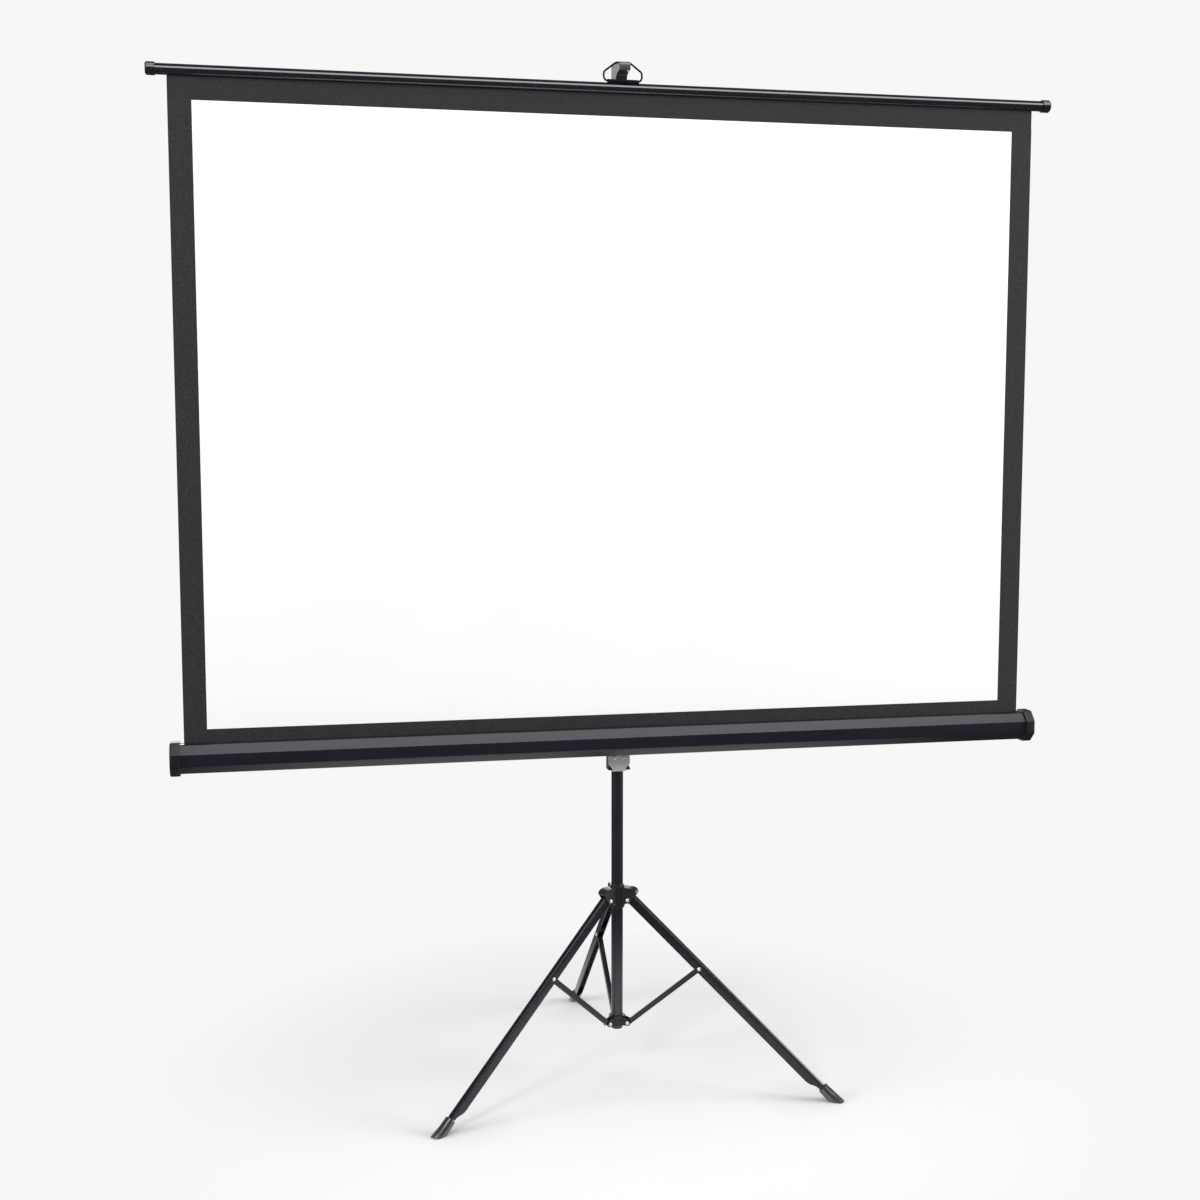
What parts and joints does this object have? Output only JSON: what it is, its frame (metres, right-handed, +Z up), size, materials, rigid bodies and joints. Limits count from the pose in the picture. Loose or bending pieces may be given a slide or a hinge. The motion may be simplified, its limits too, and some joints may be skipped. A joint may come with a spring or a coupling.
{
  "type": "tripod projection screen",
  "caption": "Portable roll-up projection screen: white matt surface with black borders, spring roller in an octagonal case, telescopic mast and folding tripod.",
  "frame": {"origin": "on the floor, on the axis of the mast", "axes": "+Z up the mast; -Y the way the screen's white face looks; +X to the right for a viewer in front of the screen"},
  "size_m": [1.87, 0.7528, 2.1383],
  "materials": {
    "black_tube": "black satin paint on steel tube",
    "black_leg": "black satin paint on pressed steel",
    "black_plastic": "black moulded nylon, fine grain",
    "boot_rubber": "dark grey moulded rubber with a soft shine",
    "case_paint": "black semi-gloss paint on folded sheet",
    "bright_steel": "zinc-plated bright steel",
    "plain_steel": "plain bright steel",
    "black_fabric": "matt black woven backing",
    "white_coating": "matt white viewing coat",
    "grey_hook": "dark grey moulded nylon"
  },
  "bodies": {
    "mast": {"main_tube": "black_tube", "tube_plug": "black_plastic", "lower_collar": "black_plastic", "lock_collar": "black_plastic", "collar_rivet_back": "bright_steel", "collar_rivet_left": "bright_steel", "collar_rivet_right": "bright_steel"},
    "hub": {"leg_hub": "black_plastic", "hub_rivet_back": "bright_steel", "hub_rivet_left": "bright_steel", "hub_rivet_right": "bright_steel"},
    "carriage": {"carriage_block": "black_plastic", "bracket_plate": "bright_steel", "plate_screw_left": "bright_steel", "plate_screw_right": "bright_steel", "pivot_washer": "black_plastic", "pivot_bolt": "plain_steel", "lever_pin": "plain_steel", "case_shell": "case_paint", "case_cap_left": "black_plastic", "case_cap_right": "black_plastic", "spring_shaft": "plain_steel", "idle_pin": "plain_steel", "return_spring": "plain_steel", "screen_fabric": "black_fabric", "viewing_surface": "white_coating"},
    "lever": {"brake_lever": "black_plastic"},
    "roller": {"roller_tube": "plain_steel", "roller_plug_left": "black_plastic", "roller_plug_right": "black_plastic", "fabric_wound": "black_fabric"},
    "extension": {"extension_tube": "black_tube", "guide_bush": "black_plastic", "hook": "grey_hook"},
    "slat": {"slat_tube": "black_tube", "slat_cap_left": "black_plastic", "slat_cap_right": "black_plastic", "hem_rod": "plain_steel", "bail_saddle": "plain_steel", "bail": "black_tube"},
    "knob": {"lock_knob": "black_plastic"},
    "leg_back": {"leg_back": "black_leg", "boot_back": "boot_rubber", "leg_rivet_back": "bright_steel"},
    "brace_back": {"brace_back": "black_leg"},
    "leg_left": {"leg_left": "black_leg", "boot_left": "boot_rubber", "leg_rivet_left": "bright_steel"},
    "brace_left": {"brace_left": "black_leg"},
    "leg_right": {"leg_right": "black_leg", "boot_right": "boot_rubber", "leg_rivet_right": "bright_steel"},
    "brace_right": {"brace_right": "black_leg"}
  },
  "joints": [
    {"name": "brace_left_turn", "type": "hinge", "parent": "mast", "child": "brace_left", "pos_m": [-0.02269, -0.0131, 0.119], "axis": [-0.5, 0.866, 0], "range_deg": [0, 46.3]},
    {"name": "leg_fold", "type": "hinge", "parent": "brace_left", "child": "leg_left", "pos_m": [-0.1601, -0.09243, 0.2555], "axis": [0.5, -0.866, 0], "range_deg": [0, 92.4]},
    {"name": "hub_turn", "type": "hinge", "parent": "leg_left", "child": "hub", "pos_m": [-0.02269, -0.0131, 0.392], "axis": [-0.5, 0.866, 0], "range_deg": [0, 46.3]},
    {"name": "leg_back_turn", "type": "hinge", "parent": "hub", "child": "leg_back", "pos_m": [0, 0.0262, 0.392], "axis": [-1, 0, 0], "range_deg": [0, 46.3]},
    {"name": "brace_back_turn", "type": "hinge", "parent": "leg_back", "child": "brace_back", "pos_m": [0, 0.18486, 0.2555], "axis": [1, 0, 0], "range_deg": [0, 92.5]},
    {"name": "leg_right_turn", "type": "hinge", "parent": "hub", "child": "leg_right", "pos_m": [0.02269, -0.0131, 0.392], "axis": [0.5, 0.866, 0], "range_deg": [0, 46.3]},
    {"name": "brace_right_turn", "type": "hinge", "parent": "leg_right", "child": "brace_right", "pos_m": [0.1601, -0.09243, 0.2555], "axis": [-0.5, -0.866, 0], "range_deg": [0, 92.5]},
    {"name": "case_slide", "type": "slide", "parent": "mast", "child": "carriage", "axis": [0, 0, 1], "range_m": [0, 0.63], "deforming": ["screen_fabric", "viewing_surface"]},
    {"name": "mast_slide", "type": "slide", "parent": "mast", "child": "extension", "axis": [0, 0, -1], "range_m": [0, 0.6305]},
    {"name": "roller_spin", "type": "hinge", "parent": "carriage", "child": "roller", "pos_m": [0, -0.05675, 0.7455], "axis": [-1, 0, 0], "continuous": true},
    {"name": "bail_lift", "type": "slide", "parent": "extension", "child": "slat", "axis": [0, 0, 1], "range_m": [0, 0.008]},
    {"name": "lever_press", "type": "hinge", "parent": "carriage", "child": "lever", "pos_m": [0.017, 0, 0.6865], "axis": [0, 1, 0], "range_deg": [0, 12], "stiffness_Nm_per_rad": 0.05},
    {"name": "knob_turn", "type": "hinge", "parent": "mast", "child": "knob", "pos_m": [0, 0.03, 1.41325], "axis": [0, 1, 0], "range_deg": [0, 270]}
  ],
  "couplings": [
    {"joint": "brace_left_turn", "follows": "leg_fold", "ratio": 0.5},
    {"joint": "hub_turn", "follows": "leg_fold", "ratio": 0.5},
    {"joint": "leg_back_turn", "follows": "leg_fold", "ratio": 0.5},
    {"joint": "brace_back_turn", "follows": "leg_fold", "ratio": 1},
    {"joint": "leg_right_turn", "follows": "leg_fold", "ratio": 0.5},
    {"joint": "brace_right_turn", "follows": "leg_fold", "ratio": 1},
    {"joint": "mast_slide", "follows": "case_slide", "ratio": 1},
    {"joint": "roller_spin", "follows": "case_slide", "rad_per_m": 164.61}
  ]
}
